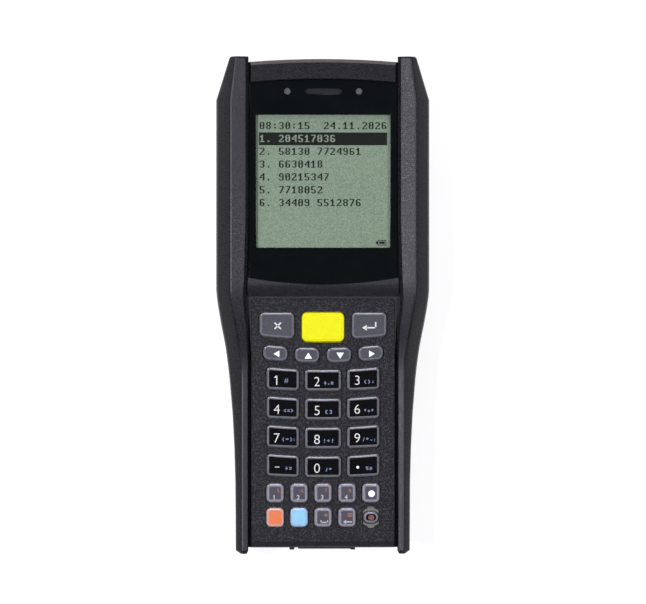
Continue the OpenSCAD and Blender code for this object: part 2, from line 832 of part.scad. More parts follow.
// Right-hand rail: sections from the lower end, which is rounded, to the scanner end, which is cut off.
// Along the head a steep inner face closes the groove down to a fine line beside the window. Where the
// crest moves in at the scanner end, the fall shrinks with it, so that the slope keeps its tilt.
module rail() {
  loft([for (i = [0:len(STATIONS) - 1])
    let (
      y = STATIONS[i],
      horn = i == 0,
      tip = i == len(STATIONS) - 1,
      w = half_w(y) - (horn ? 1.5 * horn_round : tip ? tip_round / 2 : 0),
      drop = horn ? horn_round : tip ? tip_round / 2 : 0,
      lean = (groove_w - slip) * headness(y),
      inner = rail_in_x(y) + (horn ? horn_round / 2 : 0),
      x = min(crest_x(y), w - 1.4 * crest_w),
      z = crest_z(y) - drop,
      narrowing = (crest_x(y) - inner) / (crest_x(y) + nose_crest_in * nose(y) - inner),
      fall = mix(fall_grip, fall_head, headness(y)) * narrowing,
      slope = w - x,
      foot = split_z + rail_foot
    )
    [
      [inner - lean, y, shoulder_z(y)],
      [inner - lean, y, z - fall - lean - 0.25],
      [inner + 0.25, y, z - fall],
      [x - crest_w / 2, y, z],
      [x + crest_w / 2, y, z - 0.2 * crest_w],
      [x + crest_w, y, z - 0.75 * crest_w],
      [x + 0.85 * slope, y, z - 1.1 * slope],
      [w - 0.05, y, z - 1.5 * slope],
      [w, y, z - 2.1 * slope],
      [w - 0.1, y, foot + 1.2],
      [w - 0.6, y, foot],
      [half_w(y) - rail_wall, y, foot],
      [half_w(y) - rail_wall, y, shoulder_z(y)]
    ]]);
}
rail_foot = 0.4;

module right_side_rail() {
  color(rail_colour)
    rail();
}

module left_side_rail() {
  color(rail_colour)
    mirror([1, 0, 0])
      rail();
}

// Bar across the scanner end, bevelled along its upper edge
module brow_panel() {
  top = window_z + brow_proud;
  round = 0.3;
  color([0.16, 0.16, 0.17])
    loft([
      at_z(brow_ring(0.05, fit), seat_z),
      at_z(brow_ring(0.05, fit), top - brow_bevel - round),
      at_z(brow_ring(0.05, brow_bevel), top - round),
      at_z(brow_ring(round, brow_bevel + round), top)
    ]);
}

// ---- Display ----

module display_window() {
  color([0.04, 0.06, 0.06])
    difference() {
      prism(window_ring(window_w / 2, 0.05), seat_z + gasket_t, window_z);
      slot(slot_l, slot_w, seat_z, window_z + 1);
      at_lights()
        cylinder(d = light_d + 2 * fit, h = window_z + 1);
    }
}

// Speaker slot with pointed ends
module slot(l, w, z0, z1) {
  prism([
    [-l / 2, y_slot], [w / 2 - l / 2, y_slot - w / 2], [l / 2 - w / 2, y_slot - w / 2],
    [l / 2, y_slot], [l / 2 - w / 2, y_slot + w / 2], [w / 2 - l / 2, y_slot + w / 2]
  ], z0, z1);
}

module window_gasket() {
  color([0.08, 0.08, 0.08])
    difference() {
      prism(window_ring(window_w / 2, 0.4), seat_z, seat_z + gasket_t);
      slab(view_w / 2, y_view - view_l, y_view, 0, window_z, 0.5);
      slab(slot_l / 2 + 0.8, y_slot - slot_w, y_slot + slot_w, 0, window_z, 0.4);
      at_lights()
        cylinder(d = light_d + 1, h = window_z);
    }
}

module status_lights() {
  color([0.85, 0.88, 0.86])
    at_lights() {
      translate([0, 0, deck_in_z - 0.8])
        cylinder(d = light_d, h = window_z - deck_in_z + 0.7);
      translate([0, 0, deck_in_z - 0.8])
        cylinder(d = light_d + 1.4, h = 0.8);
    }
}

module speaker_mesh() {
  color([0.45, 0.45, 0.47])
    slab(slot_l / 2 + 0.6, y_slot - slot_w + 0.2, y_slot + slot_w - 0.2, seat_z, seat_z + 0.2, 0.3);
}

speaker_w = 6;
speaker_h = 3;
speaker_rim = 1.4;
module speaker() {
  x = slot_l / 2 + 1.5;
  y = speaker_w / 2;
  color([0.15, 0.15, 0.16])
    difference() {
      slab(x, y_slot - y, y_slot + y, deck_in_z - speaker_h, deck_in_z, 1.2);
      slab(
        x - speaker_rim, y_slot - y + speaker_rim, y_slot + y - speaker_rim,
        deck_in_z - 0.5, deck_in_z + 1, 0.8
      );
    }
}

lcd_side = 0.9;
lcd_x = view_w / 2 + lcd_side;
module lcd_glass() {
  color([0.51, 0.57, 0.49])
    slab(lcd_x, y_view - view_l - lcd_side, y_view + lcd_side, lcd_top - lcd_t, lcd_top, 0.3);
}

// Tray that holds the panel and its backlight, against the underside of the front cover
module lcd_frame() {
  rim = 1;
  color([0.7, 0.7, 0.68])
    difference() {
      slab(
        lcd_x + rim, y_view - view_l - lcd_side - rim, y_view + lcd_side + rim,
        board_top, deck_in_z, 1
      );
      slab(
        lcd_x + fit, y_view - view_l - lcd_side - fit, y_view + lcd_side + fit,
        lcd_top - lcd_t, deck_in_z + 1, 0.4
      );
    }
}

// ---- Keypad ----

module keypad_plate() {
  color([0.21, 0.21, 0.23])
  difference() {
    union() {
      slab(keypad_w / 2, y_keypad_foot, y_keypad, plate_z, keypad_z, 1);
      power_guards();
    }
    for (k = KEYS)
      prism(key_ring(k, key_gap), plate_z - 1, keypad_z + 2);
  }
}

// Raised lips above and below the power key, each with a lobe in the middle, that guard it against a
// press by accident
module power_guards() {
  power = KEYS[len(KEYS) - 1];
  lip_w = 0.75;
  lobe_w = 1.7;
  top = keypad_z + guard_h;
  intersection() {
    prism(key_ring(power, key_gap + lip_w), keypad_z - 0.1, top);
    translate([power_x, 0, 0])
      block(power_w / 2, y_power - 2 * power_l, y_power + power_l, keypad_z - 1, top + 1);
  }
  translate([power_x, 0, 0])
    slab(power_w / 4, y_power - power_l - lobe_w, y_power + lobe_w, keypad_z - 0.1, top - 0.1, lobe_w / 2);
}
guard_h = 0.5;

function key_colour(name) =
  name == "key_scan" ? [0.95, 0.94, 0.1] :
  name == "key_orange" ? [0.92, 0.53, 0.34] :
  name == "key_blue" ? [0.6, 0.82, 0.94] :
  [0.45, 0.45, 0.48];

// One key: cap with a bevelled rim, flange under the plate and plunger down to its contact
module key(k) {
  cap_z = keypad_z + key_proud;
  color(key_colour(k[0])) {
    prism(key_ring(k, -plunger_in), plunger_z, flange_z);
    prism(key_ring(k, key_lip), flange_z, flange_z + flange_t);
    prism(key_ring(k), flange_z + flange_t, cap_z - 0.5);
    loft([
      at_z(key_ring(k), cap_z - 0.5),
      at_z(key_ring(k, -0.15), cap_z - 0.15),
      at_z(key_ring(k, -0.5), cap_z)
    ]);
  }
}
plunger_in = 1.4;

mat_x = keypad_w / 2 - 1.6;
y_mat = y_last - fn_l + 0.35;
module keypad_mat() {
  color([0.25, 0.25, 0.26])
  difference() {
    slab(mat_x, y_mat, y_keypad - 1.4, board_top, mat_top, 1);
    slab(mat_x - 1, y_mat + 0.8, y_keypad - 2.4, board_top - 1, mat_z, 1);
    for (k = KEYS)
      prism(key_ring(k, key_gap - plunger_in), board_top - 1, plate_z);
  }
}

module key_contacts() {
  color(gold)
    for (k = KEYS)
      prism(key_ring(k, -plunger_in), board_top, board_top + contact_t);
}

// ---- Electronics ----

board_x = keypad_w / 2 - 0.2;
y_board = y_last - fn_l + 0.2;
module main_board() {
  color([0.1, 0.35, 0.2])
    difference() {
      slab(board_x, y_board, y_view + 1, board_z, board_top, 1.5);
      // Notch for the display's flexible tail
      block(9, y_view - 1.5, y_view + 2, board_z - 1, board_top + 1);
    }
}

// Radio module in its steel can, under the board
wireless_w = 22;
wireless_l = 16;
wireless_t = 2.2;
wireless_drop = 8;
module wireless_module() {
  y = y_view - wireless_drop;
  color([0.78, 0.78, 0.8])
    slab(wireless_w / 2, y - wireless_l, y, board_z - wireless_t, board_z, 0.6);
}

cell_d = 12.5;
cell_t = 3;
cell_in = 8;
module backup_cell() {
  color([0.72, 0.72, 0.74])
    translate([0, y_view - view_l + cell_in, board_z - cell_t])
      cylinder(d = cell_d, h = cell_t);
}

// ---- Scanner ----

scan_z = split_z + scan_up;
scan_open_w = scan_win_w + 2 * scan_rim;
scan_open_h = scan_win_h + 2 * scan_rim;
scan_bow = pow(scan_open_w / 2 + 1.5, 2) / (2 * end_r);
flange_deep = 1.1;
y_flange = y_end - wall - 0.3 - scan_bow - slip - flange_deep;
scan_ledge = 0.7;
scan_pane_t = 1.4;
y_scan_pane = y_flange + flange_deep;

// A block round the middle of the scan window, between two places along Y
module scan_block(w, h, y0, y1) {
  block(w / 2, y0, y1, scan_z - h / 2, scan_z + h / 2);
}

module scan_opening(gap) {
  scan_block(scan_open_w + 2 * gap, scan_open_h + 2 * gap, y_flange + flange_deep + fit, y_top + 1);
}

// Frame that holds the scan window: its face follows the bowed end, and it has a flange behind the covers
module scan_bezel() {
  color([0.1, 0.1, 0.11])
  difference() {
    intersection() {
      union() {
        scan_block(scan_open_w, scan_open_h, y_flange, y_top);
        scan_block(scan_open_w + 3, scan_open_h - 3, y_flange, y_flange + flange_deep);
      }
      ends(fit);
    }
    scan_block(scan_win_w, scan_win_h, y_flange - 1, y_top);
    scan_block(
      scan_win_w + 2 * (scan_ledge + fit), scan_win_h + 2 * (scan_ledge + fit),
      y_flange - 1, y_scan_pane + scan_pane_t
    );
  }
}

module scan_window() {
  color([0.45, 0.03, 0.05])
    scan_block(
      scan_win_w + 2 * scan_ledge, scan_win_h + 2 * scan_ledge,
      y_scan_pane, y_scan_pane + scan_pane_t
    );
}

y_engine = y_flange - 0.5 - engine_l;
engine_z = scan_z - engine_h / 2;
module scan_engine() {
  color([0.2, 0.2, 0.21]) {
    difference() {
      block(engine_w / 2, y_engine, y_engine + engine_l, engine_z, engine_z + engine_h);
      // Openings of the lens and of the two lamps
      translate([0, y_engine + engine_l + 1, scan_z])
        rotate([90, 0, 0])
          cylinder(d = 8, h = 2.5);
      both_sides()
        translate([engine_w / 2 - 4.5, y_engine + engine_l + 1, scan_z])
          rotate([90, 0, 0])
            cylinder(d = 4, h = 2.5);
    }
    translate([0, y_engine + engine_l - 0.2, scan_z])
      rotate([90, 0, 0])
        cylinder(d = 6.4, h = 1.5);
  }
}

// ---- Battery, lid and latch ----

finger_w = 12;
finger_in = 2.5;
module battery_pack() {
  color([0.16, 0.17, 0.19])
    difference() {
      slab(battery_w / 2, y_battery, y_battery + battery_l, battery_z, battery_z + battery_h, 1.2);
      // Finger notch at the lower end
      slab(
        finger_w / 2, y_battery - 1, y_battery + finger_in,
        battery_z - 1, battery_z + finger_in, 0.8
      );
    }
}

contact_pitch = 5;
contact_w = 2;
contact_low = 3;
contact_high = 2;
module battery_contacts() {
  color(gold)
    for (i = [-1.5:1:1.5])
      translate([i * contact_pitch - contact_w / 2, y_battery + battery_l, battery_z + contact_low])
        cube([contact_w, contact_room, battery_h - contact_low - contact_high]);
}

lug_w = 2.2;
lug_x0 = knuckle_x - slip - lug_w;
lug_x1 = knuckle_x + knuckle_w + slip + lug_w;

// Lugs of the back cover either side of each knuckle
module hinge_lugs() {
  lug_r = knuckle_r - 0.2;
  both_sides()
    for (x = [lug_x0, knuckle_x + knuckle_w + slip])
      translate([x, y_hinge, hinge_z])
        rotate([90, 0, 90])
          difference() {
            union() {
              cylinder(r = lug_r, h = lug_w);
              translate([-lug_r, 0, 0])
                cube([2 * lug_r, hinge_gap, lug_w]);
            }
            translate([0, 0, -1])
              cylinder(d = pin_d + 0.04, h = lug_w + 2);
          }
}

module lid_hinge_pin() {
  color(steel)
    translate([-lug_x1, y_hinge, hinge_z])
      rotate([0, 90, 0])
        cylinder(d = pin_d, h = 2 * lug_x1);
}

module lid_seal_ring(z0, z1, grow) {
  difference() {
    slab(bay_w / 2 + 1.35 + grow, y_bay - 0.95 - grow, y_bay_end + 0.95 + grow, z0, z1, 1.8);
    slab(bay_w / 2 + 0.45 - grow, y_bay - 0.35 + grow, y_bay_end + 0.35 - grow, z0 - 1, z1 + 1, 1.2);
  }
}

module lid_seal() {
  color([0.1, 0.1, 0.1])
    lid_seal_ring(pocket_z - 0.05, pocket_z + 0.85, 0);
}

// Thumb pad, stem and tongue of the latch, from outside to inside
pad_deep = 1;
stem_w = 5;
tongue_t = 1.2;
latch_plate_w = 12;
y_pad = y_stem + stem_l - latch_l;
pad_z = lid_lift + 0.05;
pad_floor = lid_lift + pad_deep;
tongue_z0 = lid_in_z + 0.15;
tongue_z1 = tongue_z0 + tongue_t;

module battery_latch() {
  color([0.3, 0.3, 0.32]) {
    difference() {
      slab(latch_w / 2, y_pad, y_pad + latch_l, pad_z, pad_floor - 0.15, 0.8);
      // Grip grooves
      for (i = [1:3])
        let (y = y_pad + i * latch_l / 4)
          block(latch_w / 2 - 1.5, y - 0.3, y + 0.3, 0, pad_z + 0.35);
    }
    block(stem_w / 2, y_stem, y_stem + stem_l, pad_floor - 0.15, tongue_z0);
    block(latch_plate_w / 2, y_stem, y_stem + tongue_l, tongue_z0, tongue_z1);
  }
}

module battery_lid() {
  color(housing_colour)
  difference() {
    union() {
      slab(lid_w / 2, y_hinge + hinge_gap - 0.3, y_lid_end, lid_lift, lid_in_z, 1.8);
      both_sides()
        hinge_knuckle();
    }
    // Recess of the thumb pad and slot of the stem
    slab(latch_w / 2 + slip, y_pad - slip, y_pad + latch_l + latch_travel + slip, 0, pad_floor, 1);
    block(stem_w / 2 + slip, y_stem - slip, y_stem + stem_l + latch_travel + slip, 0, lid_in_z + 1);
    both_sides()
      translate([knuckle_x - 1, y_hinge, hinge_z])
        rotate([0, 90, 0])
          cylinder(d = pin_d + slip, h = knuckle_w + 2);
  }
}

module hinge_knuckle() {
  translate([knuckle_x, y_hinge, hinge_z])
    rotate([0, 90, 0])
      cylinder(r = knuckle_r, h = knuckle_w);
  translate([knuckle_x, y_hinge, lid_lift + fit])
    cube([knuckle_w, hinge_gap, lid_t - fit]);
}

// ---- Cradle connector ----

dock_z0 = split_z - dock_h / 2 - 0.5;
dock_z1 = dock_z0 + dock_h;
y_dock = y_foot - dock_out;
dock_back = y_foot + wall + 0.3;

module dock_opening(gap) {
  block(dock_w / 2 + gap, y_bot - 1, dock_back + 2, dock_z0 - gap, dock_z1 + gap);
}

// Block with two ears, a keying notch and a shallow face for the pads between them
module cradle_connector() {
  ear = 1.7;
  face = y_dock + 0.3;
  left = ear - dock_w / 2;
  color([0.12, 0.12, 0.13])
  difference() {
    prism([
      [-dock_w / 2, y_dock], [left - 0.3, y_dock], [left, y_dock + 1],
      [left + notch_w - 0.3, y_dock + 1], [left + notch_w, face],
      [dock_w / 2 - ear, face], [dock_w / 2 - ear + 0.3, y_dock], [dock_w / 2, y_dock],
      [dock_w / 2, dock_back + 1.5], [-dock_w / 2, dock_back + 1.5]
    ], dock_z0, dock_z1);
    at_pads()
      cube([pad_w, 2, dock_h - 4]);
  }
}

pad_w = 1.2;
notch_w = 1.2;
pads_in = 7;
module at_pads() {
  pitch = (dock_w - pads_in) / dock_pads;
  for (i = [0:dock_pads - 1])
    translate([(i - (dock_pads - 1) / 2) * pitch + notch_w / 2 - pad_w / 2, y_dock - 1, dock_z0 + 2])
      children();
}

module cradle_contacts() {
  color(gold)
    at_pads()
      translate([0, 1.5, 0])
        cube([pad_w, 0.5, dock_h - 4]);
}

// ---- What is drawn ----

for (k = KEYS)
  key(k);
front_cover();
back_cover();
left_side_rail();
right_side_rail();
brow_panel();
keypad_plate();
case_seal();
housing_screws();
display_window();
window_gasket();
lcd_glass();
lcd_frame();
status_lights();
speaker_mesh();
speaker();
keypad_mat();
key_contacts();
main_board();
wireless_module();
backup_cell();
scan_bezel();
scan_window();
scan_engine();
battery_pack();
battery_contacts();
battery_lid();
lid_seal();
lid_hinge_pin();
battery_latch();
cradle_connector();
cradle_contacts();
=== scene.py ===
# %% [markdown]
# # A handheld data terminal, dressed in Blender
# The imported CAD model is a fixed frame: every casing, key and hinge is already at its real size.
# This script gives it what a drawing leaves out: rounded moulding edges, grained plastic, printed
# key tops, a display that shows something, and a studio to look at it in.

# %% Load the frame
import json
import math

import bmesh
import bpy
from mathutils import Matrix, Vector


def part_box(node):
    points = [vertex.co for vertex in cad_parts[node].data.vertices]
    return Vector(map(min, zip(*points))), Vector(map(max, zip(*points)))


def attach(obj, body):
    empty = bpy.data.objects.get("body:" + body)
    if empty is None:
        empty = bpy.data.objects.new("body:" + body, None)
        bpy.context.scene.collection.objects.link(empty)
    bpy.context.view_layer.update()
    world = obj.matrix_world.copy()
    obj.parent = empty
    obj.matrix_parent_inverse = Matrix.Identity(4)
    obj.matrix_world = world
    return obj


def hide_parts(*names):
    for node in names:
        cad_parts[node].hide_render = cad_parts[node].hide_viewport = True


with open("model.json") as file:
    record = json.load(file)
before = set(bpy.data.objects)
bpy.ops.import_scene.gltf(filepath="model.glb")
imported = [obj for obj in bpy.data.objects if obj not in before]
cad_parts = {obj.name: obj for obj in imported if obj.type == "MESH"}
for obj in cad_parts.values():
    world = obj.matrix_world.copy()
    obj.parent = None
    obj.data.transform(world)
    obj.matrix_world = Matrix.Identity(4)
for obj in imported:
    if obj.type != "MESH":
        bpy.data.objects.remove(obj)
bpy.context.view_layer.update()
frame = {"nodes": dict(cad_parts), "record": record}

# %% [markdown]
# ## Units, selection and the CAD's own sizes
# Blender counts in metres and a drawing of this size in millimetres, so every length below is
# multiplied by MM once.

MM = 0.001
NODES = frame["nodes"]
BODY = {node: body for body, nodes in frame["record"]["behaviour"]["bodies"].items() for node in nodes}


def only(piece):
    """Select this piece alone. An operator works on all that is selected."""
    bpy.ops.object.select_all(action="DESELECT")
    piece.select_set(True)
    bpy.context.view_layer.objects.active = piece


def edit(mode="FACE"):
    """Go into edit mode with nothing selected."""
    bpy.ops.object.mode_set(mode="EDIT")
    bpy.ops.mesh.select_mode(type=mode)
    bpy.ops.mesh.select_all(action="DESELECT")


def pick(kind, test):
    """Select the vertices, edges or faces of the mesh in edit mode that pass a test."""
    mesh = bpy.context.active_object.data
    shape = bmesh.from_edit_mesh(mesh)
    for part in getattr(shape, kind):
        part.select_set(bool(test(part)))
    shape.select_flush_mode()
    bmesh.update_edit_mesh(mesh)


def done(piece, name, smooth=30):
    """Leave edit mode, put the place into the mesh, and shade round edges smooth."""
    if piece.mode == "EDIT":
        bpy.ops.object.mode_set(mode="OBJECT")
    only(piece)
    bpy.ops.object.transform_apply(location=True, rotation=True, scale=True)
    if smooth:
        bpy.ops.object.shade_smooth_by_angle(angle=math.radians(smooth))
    piece.name = piece.data.name = name
    return piece


def apply_modifier(piece, kind, **settings):
    """Add a modifier with its settings and apply it at once."""
    modifier = piece.modifiers.new(kind.title(), kind)
    for name, value in settings.items():
        setattr(modifier, name, value)
    only(piece)
    bpy.ops.object.modifier_apply(modifier=modifier.name)


def flatten(piece):
    """Let each vertex normal follow the largest face there, so that flats look flat up to their edges."""
    apply_modifier(piece, "WEIGHTED_NORMAL", keep_sharp=True, weight=100)


# %% [markdown]
# ## Colours and shader nodes
# Paint charts give sRGB hex codes and shaders want linear light, so one function turns one into the
# other. Another adds a shader node with its settings and links, and every material below uses it.

# %% Colour and node helpers


def colour(code, strength=1.0):
    """An sRGB hex code as the linear colour that a shader takes."""
    parts = [int(code[i:i + 2], 16) / 255 for i in (1, 3, 5)]
    linear = [p / 12.92 if p <= 0.04045 else ((p + 0.055) / 1.055) ** 2.4 for p in parts]
    return [min(1, p * strength) for p in linear] + [1]


def add_node(material, kind, inputs=None, **settings):
    """Add a node. A value in inputs is set on its socket, and a socket in inputs is linked to it."""
    node = material.node_tree.nodes.new(kind)
    for name, value in settings.items():
        setattr(node, name, value)
    for name, value in (inputs or {}).items():
        if isinstance(value, bpy.types.NodeSocket):
            material.node_tree.links.new(value, node.inputs[name])
        else:
            node.inputs[name].default_value = value
    return node


def new_material(name, **sockets):
    """A material with one Principled shader; sockets are its values, with _ for a space."""
    material = bpy.data.materials.new(name)
    material.use_nodes = True
    shader = material.node_tree.nodes["Principled BSDF"]
    for socket, value in sockets.items():
        shader.inputs[socket.replace("_", " ")].default_value = value
    return material, shader


MIX_A, MIX_B, MIX_RESULT = 6, 7, 2      # the colour sockets of a Mix node
GLOSS_LOW, GLOSS_HIGH = 0.3, 0.7        # nearly all of a noise's values lie between these


def grained(material, shader, code, size, mottle=0.15, relief=0.0, rough=None, blur=0.15):
    """A grain of the given size in mm: it mottles the colour, lifts the surface and varies the gloss.

    A small blur gives it crisp pits, and a large one gives soft clouds.
    """
    links = material.node_tree.links
    place = add_node(material, "ShaderNodeTexCoord").outputs["Object"]
    noise = add_node(material, "ShaderNodeTexNoise", {"Vector": place, "Scale": 1 / (size * MM), "Detail": 3})
    spread = add_node(material, "ShaderNodeMapRange",
                      {"Value": noise.outputs["Fac"], "From Min": 0.5 - blur, "From Max": 0.5 + blur})
    tint = add_node(material, "ShaderNodeMix", {
        "Factor": spread.outputs[0], MIX_A: colour(code, 1 - mottle), MIX_B: colour(code, 1 + mottle)},
        data_type="RGBA")
    links.new(tint.outputs[MIX_RESULT], shader.inputs["Base Color"])
    if relief:
        bump = add_node(material, "ShaderNodeBump", {
            "Height": spread.outputs[0], "Distance": relief * MM, "Strength": 1.0})
        links.new(bump.outputs[0], shader.inputs["Normal"])
    if rough:
        gloss = add_node(material, "ShaderNodeMapRange", {
            "Value": noise.outputs["Fac"], "From Min": GLOSS_LOW, "From Max": GLOSS_HIGH,
            "To Min": rough[0], "To Max": rough[1]})
        links.new(gloss.outputs[0], shader.inputs["Roughness"])


print("helpers ready")

# %% [markdown]
# ## Camera
# The terminal is seen from above, a touch from the left. A long lens far away keeps its sides nearly
# parallel. The width that the picture spans at the display gives the focal length.

# %% Camera
VIEW_WIDTH = 218.2 * MM     # what the picture spans at the height of the display
AIM = Vector((-0.03, 1.18, 30)) * MM
CAMERA_FAR = 1500 * MM
TILT_LEFT = math.radians(1.3)
SENSOR = 36                 # mm, the width of a full-frame sensor
SIGHT_LIMIT = 10            # metres

bpy.ops.object.camera_add(location=AIM + CAMERA_FAR * Vector((-math.sin(TILT_LEFT), 0, math.cos(TILT_LEFT))))
camera = bpy.context.object
camera.rotation_euler = (0, -TILT_LEFT, 0)
camera.data.sensor_width = SENSOR
camera.data.lens = SENSOR * CAMERA_FAR / VIEW_WIDTH
camera.data.clip_end = SIGHT_LIMIT
bpy.context.scene.camera = camera
bpy.context.scene.view_settings.view_transform = "Standard"
print("lens", round(camera.data.lens), "mm")

# %% [markdown]
# ## Floor and light
# A light table and soft lamps, as in a product studio: an opal white sheet lit from below, on which
# nothing throws a hard shadow. Dark plastic shows little but what it mirrors, so the lamps stand where
# its slopes look. Two to the left and right, a little off the vertical, shine in the rails: they are
# long, so that their reflection runs from the scanner end to the foot of the grip. One low beyond the
# scanner end lights the brow's far upper edge, whose line of light is in part a painted highlight, and one
# higher up there lights the upper rim of every key. A small one puts a glint on the keys' upper left
# corners, and a weak one fills in from the near side. Straight above it stays dark, so that the black
# window shows no glare.

# %% Floor and light
FLOOR_REACH = 6.0           # metres
FLOOR_GLOW = 0.83           # with what the lamps add, it comes out just short of pure white
FLOOR_CLOUDS = 40           # mm, the size of its faint unevenness
LAMP_WHITE = "#f6f5ff"      # a cool white
AIR_GLOW = 0.06

bpy.ops.mesh.primitive_plane_add(size=FLOOR_REACH)
floor = done(bpy.context.object, "floor", smooth=0)
floor_paint, shader = new_material("opal acrylic, lit from below", Roughness=0.9, Specular_IOR_Level=0.1,
                                   Emission_Color=(1, 1, 1, 1), Emission_Strength=FLOOR_GLOW)
grained(floor_paint, shader, "#818181", FLOOR_CLOUDS, mottle=0.01)
floor.data.materials.append(floor_paint)


def lamp(name, place, length, width, power):
    """A soft lamp that faces the terminal. Place and size are in metres, power in watts.

    Its length lies level, across the way that it faces.
    """
    bpy.ops.object.light_add(type="AREA", location=place)
    light = bpy.context.object
    light.name = name
    light.data.shape = "RECTANGLE"
    light.data.size = length
    light.data.size_y = width
    light.data.energy = power
    light.data.color = colour(LAMP_WHITE)[:3]
    light.rotation_euler = (-Vector(place)).to_track_quat("-Z", "Y").to_euler()


lamp("key lamp", (-0.48, 0.0, 1.24), 0.44, 0.16, 16)
lamp("fill lamp", (0.54, 0.0, 1.2), 0.48, 0.25, 9.2)
lamp("rim lamp", (0.0, 0.92, 0.97), 0.3, 0.22, 3)
lamp("brow lamp", (-0.2, 1.28, 0.42), 0.45, 0.45, 7)
lamp("front lamp", (0.1, -1.06, 0.8), 0.6, 0.6, 0.8)
lamp("glint lamp", (-0.72, 0.72, 0.98), 0.2, 0.2, 3.2)

world = bpy.data.worlds.new("studio air")
bpy.context.scene.world = world
world.use_nodes = True
background = world.node_tree.nodes["Background"]
background.inputs["Color"].default_value = (0.9, 0.92, 1, 1)
background.inputs["Strength"].default_value = AIR_GLOW

# %% [markdown]
# ## Moulded plastics
# The casings are ABS, shot into steel tools whose walls were roughened by spark erosion. That leaves
# a fine, even grain that scatters the light: matt, nearly black, with a soft sheen on the slopes.
# Its real grain is about 0.1 mm, drawn here at half a millimetre so that it shows.

# %% Moulded plastics


def moulded(name, code, size=0.5, mottle=0.12, relief=0.012, rough=(0.42, 0.6), sheen=0.14, blur=0.15):
    """Spark-eroded ABS: matt and grained. The grain traps light, so the level of its gloss is low."""
    material, shader = new_material(name, IOR=1.5, Specular_IOR_Level=sheen)
    grained(material, shader, code, size, mottle, relief, rough, blur)
    return material


cover_abs = moulded("spark-eroded ABS, cover", "#1f1e22", mottle=0.4, relief=0.02, sheen=0.16)
# The rails' steel was polished finer, so they are a little glossier and their slopes mirror the lamps.
rail_abs = moulded("spark-eroded ABS, rail", "#19181d", mottle=0.6, relief=0.014, rough=(0.2, 0.36),
                   sheen=0.071)
brow_abs = moulded("spark-eroded ABS, brow", "#151418", mottle=0.6, relief=0.02, rough=(0.28, 0.44),
                   sheen=0.09, blur=0.1)
# The keypad plate has a coarser, leathery grain.
keypad_abs = moulded("coarse-grained ABS, keypad plate", "#1b1a1e", 0.55, mottle=0.95, relief=0.11,
                     sheen=0.19, blur=0.06)
inner_nylon = moulded("glass-filled nylon", "#141416", rough=(0.5, 0.65), mottle=0.3)
tray_polycarbonate = moulded("white polycarbonate", "#b9b7b1", rough=(0.3, 0.4))
battery_polycarbonate = moulded("grey polycarbonate", "#2a2b30", size=0.4)

# %% [markdown]
# ## Rubbers, metals and board
# Silicone is soft to light as to touch: a little of it goes in and comes out again beside the spot.
# Metals keep their default index of refraction, and their colour is their reflection.

# %% Rubbers, metals and board


def plain(name, code, size=1.0, mottle=0.06, relief=0.0, rough=None, **sockets):
    """A material with one faint grain."""
    material, shader = new_material(name, **sockets)
    grained(material, shader, code, size, mottle, relief, rough)
    return material


seal_silicone = plain("black silicone rubber", "#141415", rough=(0.55, 0.7))
mat_silicone = plain("grey silicone rubber", "#3b3b3e", rough=(0.5, 0.65))
# Turned and plated: fine rings are too small to show, so a faint grain carries the gloss.
zinc_steel = plain("zinc-plated steel", "#b4b5b8", 0.4, 0.1, 0.004, (0.25, 0.4), Metallic=1.0)
nickel_steel = plain("nickel-plated steel", "#8f8f90", 0.6, 0.1, 0.0, (0.3, 0.45), Metallic=1.0)
gold_plate = plain("gold-plated bronze", "#d0a44a", 0.4, 0.08, 0.0, (0.2, 0.3), Metallic=1.0)
solder_resist = plain("green solder resist on glass fibre", "#1b5a37", 1.5, 0.1, 0.0, (0.25, 0.4))
blackened_steel = plain("blackened steel mesh", "#0e0e0f", 0.3, 0.35, 0.01, (0.4, 0.6),
                        Specular_IOR_Level=0.15)
light_pipe = plain("frosted acrylic", "#37393a", 0.5, 0.1, 0.0, (0.25, 0.4), Subsurface_Weight=0.3,
                   Subsurface_Scale=MM)
red_acrylic = plain("red filter acrylic", "#4c0a12", 2.0, 0.05, 0.0, (0.05, 0.08), Coat_Weight=0.5)

# %% [markdown]
# ## Skins for the casings
# A CAD solid has knife edges and a moulded part never does: plastic can't fill a sharp corner. Each
# casing gets a copy of its node's mesh, welded, with flat faces joined again, and a small bevel on
# what is sharp. A modifier could also round the CAD mesh itself, but that has to stay as it is.

# %% Skins
WELD = 0.005 * MM                   # corners nearer than this are one corner
SAME_PLANE = math.radians(0.5)      # faces that differ by less are one face
SHARP = math.radians(28)            # an edge that turns by more is rounded
ROUND_STEPS = 3                     # faces across a rounded edge


def welded(node, name, joined=True):
    """A copy of a CAD node's mesh in edit mode, its triangles joined to faces again.

    The copy brings the CAD's own normals along. They go first, or no edge could be made sharp later.
    A flat side with openings in it can't be one face, so a piece that has such a side isn't joined.
    """
    piece = bpy.data.objects.new(name, NODES[node].data.copy())
    bpy.context.scene.collection.objects.link(piece)
    only(piece)
    bpy.ops.mesh.customdata_custom_splitnormals_clear()
    edit()
    bpy.ops.mesh.select_all(action="SELECT")
    bpy.ops.mesh.remove_doubles(threshold=WELD)
    if joined:
        bpy.ops.mesh.dissolve_limited(angle_limit=SAME_PLANE)
    return piece


def skin(node, material, radius, smooth=35, joined=True):
    """A welded copy of a CAD node, its sharp edges rounded by a radius in mm, that stands for the node."""
    piece = welded(node, node + "_skin", joined)
    bpy.ops.object.mode_set(mode="OBJECT")
    if radius:
        apply_modifier(piece, "BEVEL", width=radius * MM, segments=ROUND_STEPS, limit_method="ANGLE",
                       angle_limit=SHARP, use_clamp_overlap=True, harden_normals=False)
    done(piece, node + "_skin", smooth)
    flatten(piece)
    piece.data.materials.clear()
    piece.data.materials.append(material)
    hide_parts(node)
    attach(piece, BODY[node])
    print(piece.name, len(piece.data.polygons), "faces")
    return piece


